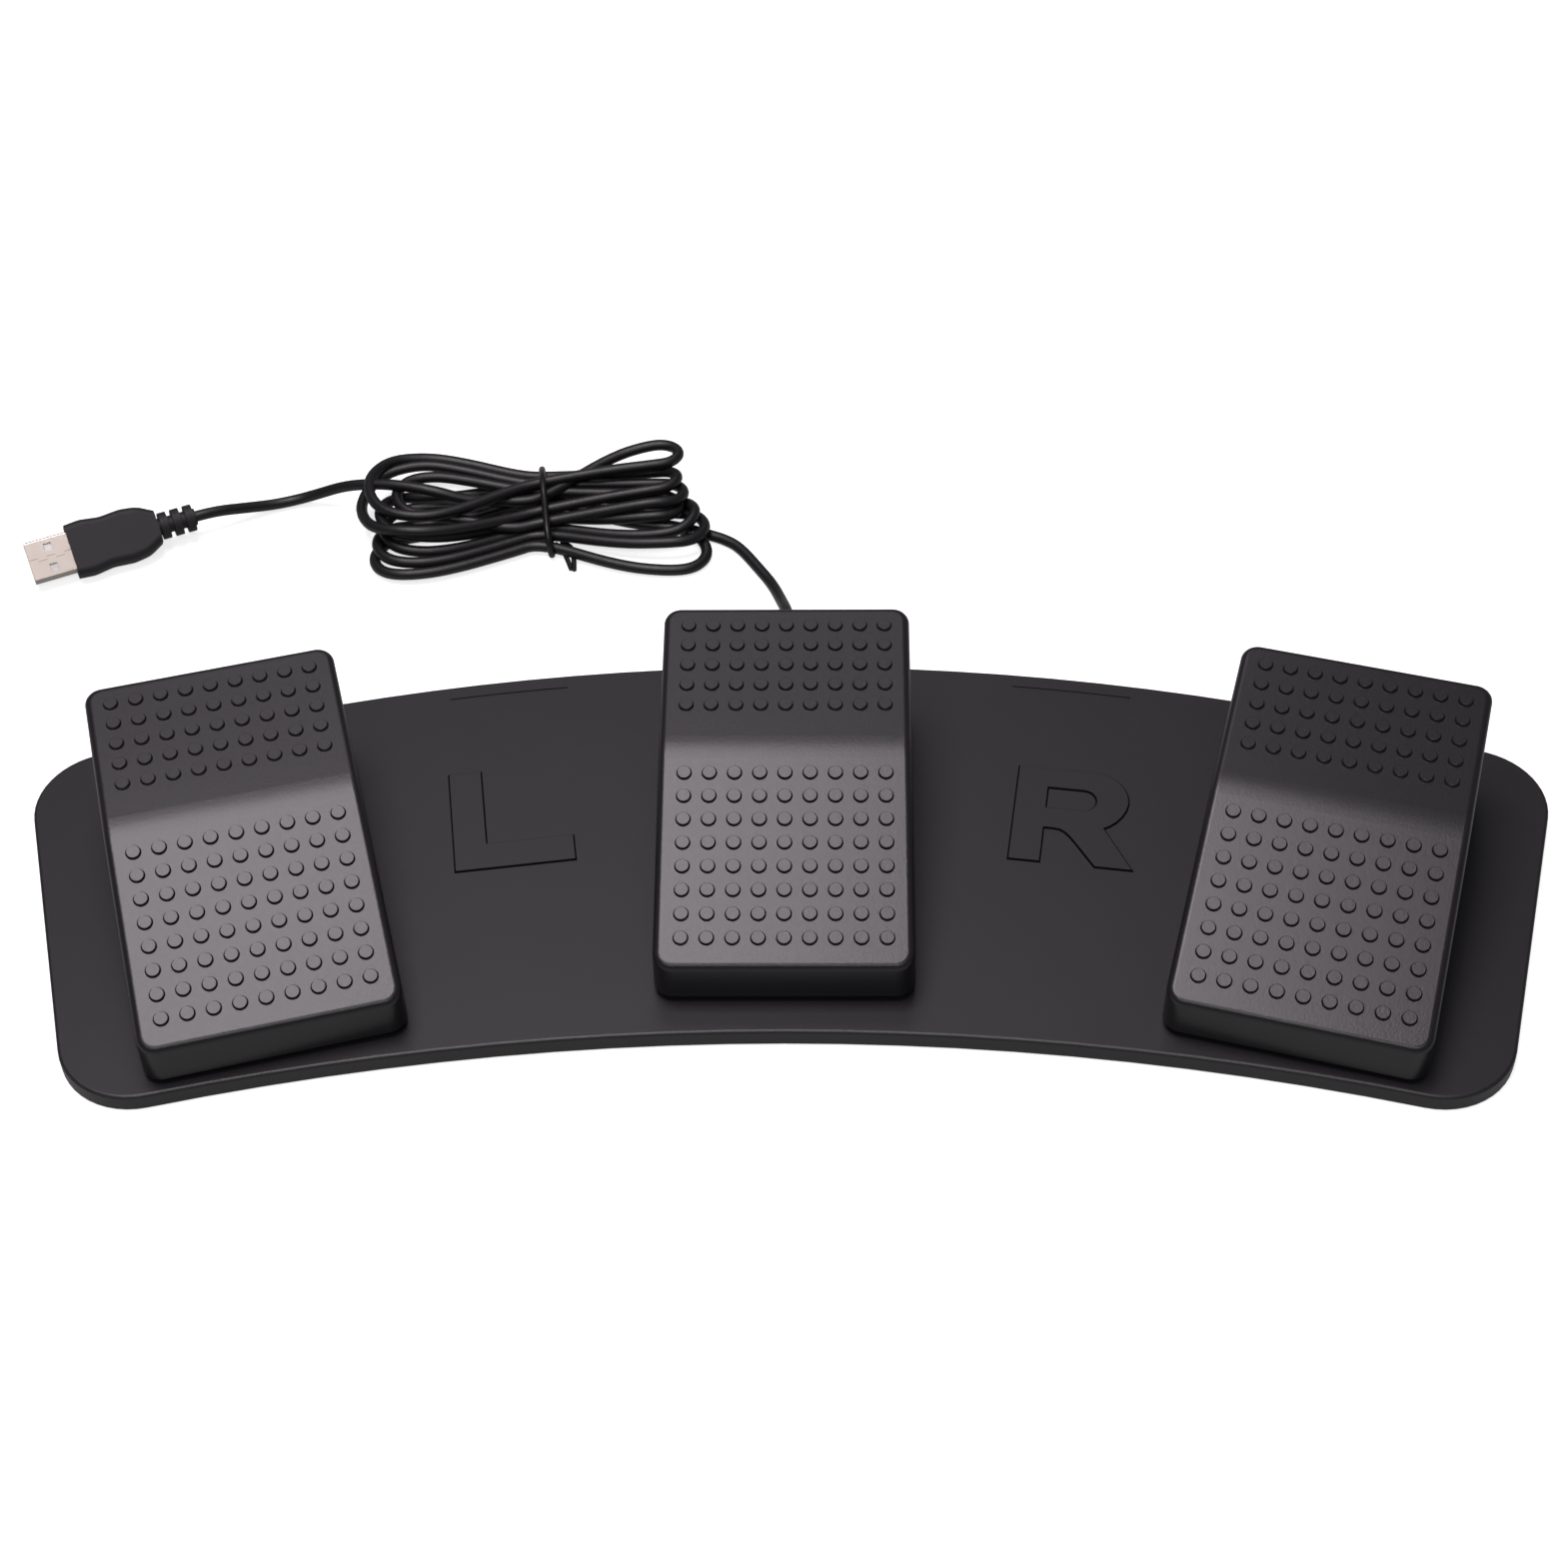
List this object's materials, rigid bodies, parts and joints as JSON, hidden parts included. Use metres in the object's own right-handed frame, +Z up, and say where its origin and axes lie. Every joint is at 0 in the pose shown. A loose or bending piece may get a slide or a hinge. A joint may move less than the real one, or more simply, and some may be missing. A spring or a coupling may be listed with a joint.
{
  "type": "usb foot pedal switch",
  "caption": "Curved foot switch board with hinged studded pedals for left, middle and right, a bundled cord and a USB plug.",
  "frame": {"origin": "on the floor, under the middle of the board's box (cord and plug left out)", "axes": "+X to the user's right, along the board; +Y away from the user, towards the cord; +Z up"},
  "size_m": [0.4265, 0.2444, 0.0448],
  "materials": {
    "base_shell": "matt",
    "cover_shell": "matt",
    "case_shell": "matt",
    "rubber": "matt",
    "zinc_steel": "satin",
    "spring_steel": "satin",
    "switch_shell": "satin",
    "plunger_red": "satin",
    "brass_blade": "satin",
    "circuit_green": "satin",
    "cord_jacket": "satin",
    "lead_jacket": "satin",
    "tie_wire": "satin",
    "plug_grip": "matt",
    "plug_shell": "satin",
    "plug_tongue": "satin",
    "gold_contact": "satin"
  },
  "bodies": {
    "root": {"base_plate": "base_shell", "bottom_lid": "base_shell", "rubber_feet": "rubber", "case_screws": "zinc_steel", "controller_board": "circuit_green", "left_inner_lead": "lead_jacket", "right_inner_lead": "lead_jacket", "cable_gland": "cord_jacket", "cord_lead": "cord_jacket", "cord_hank": "cord_jacket", "cord_tail": "cord_jacket", "cable_tie": "tie_wire", "plug_strain_relief": "plug_grip", "plug_body": "plug_grip", "plug_shell": "plug_shell", "plug_tongue": "plug_tongue", "plug_contacts": "gold_contact", "left_pedal_case": "case_shell", "left_hinge_pin": "zinc_steel", "left_return_spring": "spring_steel", "left_switch_body": "switch_shell", "left_switch_blades": "brass_blade", "centre_pedal_case": "case_shell", "centre_hinge_pin": "zinc_steel", "centre_return_spring": "spring_steel", "centre_switch_body": "switch_shell", "centre_switch_blades": "brass_blade", "right_pedal_case": "case_shell", "right_hinge_pin": "zinc_steel", "right_return_spring": "spring_steel", "right_switch_body": "switch_shell", "right_switch_blades": "brass_blade"},
    "left_cover": {"left_pedal_cover": "cover_shell"},
    "left_plunger": {"left_switch_plunger": "plunger_red"},
    "centre_cover": {"centre_pedal_cover": "cover_shell"},
    "centre_plunger": {"centre_switch_plunger": "plunger_red"},
    "right_cover": {"right_pedal_cover": "cover_shell"},
    "right_plunger": {"right_switch_plunger": "plunger_red"}
  },
  "joints": [
    {"name": "left_pedal_press", "type": "hinge", "parent": "root", "child": "left_cover", "pos_m": [-0.12727, -0.0545, 0.012], "axis": [-0.9659, -0.2588, 0], "range_deg": [0, 3.5], "stiffness_Nm_per_rad": 4, "springref_deg": -5.16, "deforming": ["left_return_spring"]},
    {"name": "left_plunger_travel", "type": "slide", "parent": "root", "child": "left_plunger", "axis": [0, 0, -1], "range_m": [0, 0.00147]},
    {"name": "centre_pedal_press", "type": "hinge", "parent": "root", "child": "centre_cover", "pos_m": [0, -0.03565, 0.012], "axis": [-1, 0, 0], "range_deg": [0, 3.5], "stiffness_Nm_per_rad": 4, "springref_deg": -5.16, "deforming": ["centre_return_spring"]},
    {"name": "centre_plunger_travel", "type": "slide", "parent": "root", "child": "centre_plunger", "axis": [0, 0, -1], "range_m": [0, 0.00147]},
    {"name": "right_pedal_press", "type": "hinge", "parent": "root", "child": "right_cover", "pos_m": [0.12727, -0.0545, 0.012], "axis": [-0.9659, 0.2588, 0], "range_deg": [0, 3.5], "stiffness_Nm_per_rad": 4, "springref_deg": -5.16, "deforming": ["right_return_spring"]},
    {"name": "right_plunger_travel", "type": "slide", "parent": "root", "child": "right_plunger", "axis": [0, 0, -1], "range_m": [0, 0.00147]}
  ],
  "couplings": [
    {"joint": "left_plunger_travel", "follows": "left_pedal_press", "m_per_rad": 0.024},
    {"joint": "centre_plunger_travel", "follows": "centre_pedal_press", "m_per_rad": 0.024},
    {"joint": "right_plunger_travel", "follows": "right_pedal_press", "m_per_rad": 0.024}
  ]
}
